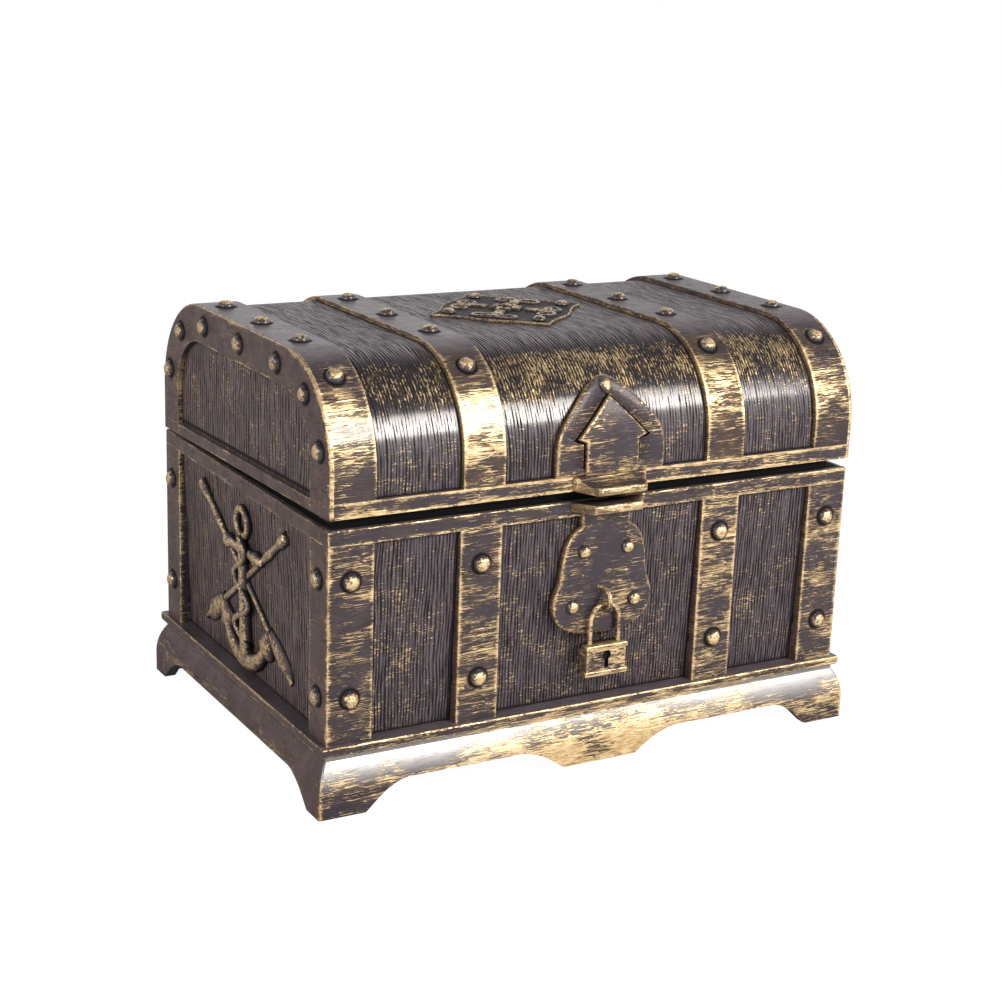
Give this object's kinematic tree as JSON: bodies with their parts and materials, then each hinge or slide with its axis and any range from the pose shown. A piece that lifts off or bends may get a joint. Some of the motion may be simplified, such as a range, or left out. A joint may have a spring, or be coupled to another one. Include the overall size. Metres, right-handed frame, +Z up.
{
  "type": "treasure chest box",
  "caption": "Treasure chest keepsake box: rivetted straps, a hinged round-shouldered lid, a hasp with a small hanging padlock and a plinth on bracket feet.",
  "frame": {"origin": "on the floor, under the middle of the chest", "axes": "+X to the right end, +Y to the back with the hinges, +Z up"},
  "size_m": [0.228, 0.1733, 0.1609],
  "materials": {
    "panel": "dark grained moulding, dry-brushed with bronze",
    "strap": "dark moulding rubbed with bronze on faces and edges",
    "rivet": "bright bronze domes, dark at the foot",
    "ornament": "dark relief with rubbed bronze high places",
    "lock": "bronze paint over dark metal",
    "hinge": "antique bronze"
  },
  "bodies": {
    "chest": {"chest_shell": "panel", "chest_rim_band": "strap", "base_bead": "strap", "base_skirt": "strap", "corner_strap_front_left": "strap", "corner_strap_front_right": "strap", "corner_strap_rear_left": "strap", "corner_strap_rear_right": "strap", "front_strap_left": "strap", "front_strap_right": "strap", "rear_strap_left": "strap", "rear_strap_right": "strap", "front_rivets": "rivet", "rear_rivets": "rivet", "left_rivets": "rivet", "right_rivets": "rivet", "hasp_shield": "ornament", "hasp_keeper": "ornament", "hasp_rivets": "rivet", "staple": "lock", "anchor_left": "ornament", "anchor_right": "ornament", "hinge_lower_leaf_left": "hinge", "hinge_lower_leaf_right": "hinge", "hinge_pin_left": "hinge", "hinge_pin_right": "hinge", "hinge_lower_screws": "hinge"},
    "lid": {"lid_shell": "panel", "lid_front_rail": "strap", "lid_rear_rail": "strap", "lid_corner_strap_left": "strap", "lid_corner_strap_right": "strap", "lid_strap_left": "strap", "lid_strap_right": "strap", "lid_end_frame_left": "strap", "lid_end_frame_right": "strap", "lid_top_rivets": "rivet", "lid_front_rivets": "rivet", "lid_rear_rivets": "rivet", "lid_left_rivets": "rivet", "lid_right_rivets": "rivet", "arch_plate": "ornament", "arch_inner_plate": "ornament", "arch_drop": "rivet", "latch_tab": "ornament", "emblem_plate": "ornament", "emblem_studs": "rivet", "emblem_boss": "rivet", "hinge_upper_leaf_left": "hinge", "hinge_upper_leaf_right": "hinge", "hinge_upper_screws": "hinge"},
    "padlock": {"padlock_case": "lock", "padlock_shackle": "lock"}
  },
  "joints": [
    {"name": "lid_hinge", "type": "hinge", "parent": "chest", "child": "lid", "pos_m": [0, 0.082, 0.1031], "axis": [-1, 0, 0], "range_deg": [0, 100]},
    {"name": "padlock_swing", "type": "hinge", "parent": "chest", "child": "padlock", "pos_m": [0, -0.07977, 0.063], "axis": [-1, 0, 0], "range_deg": [-2, 70]}
  ]
}
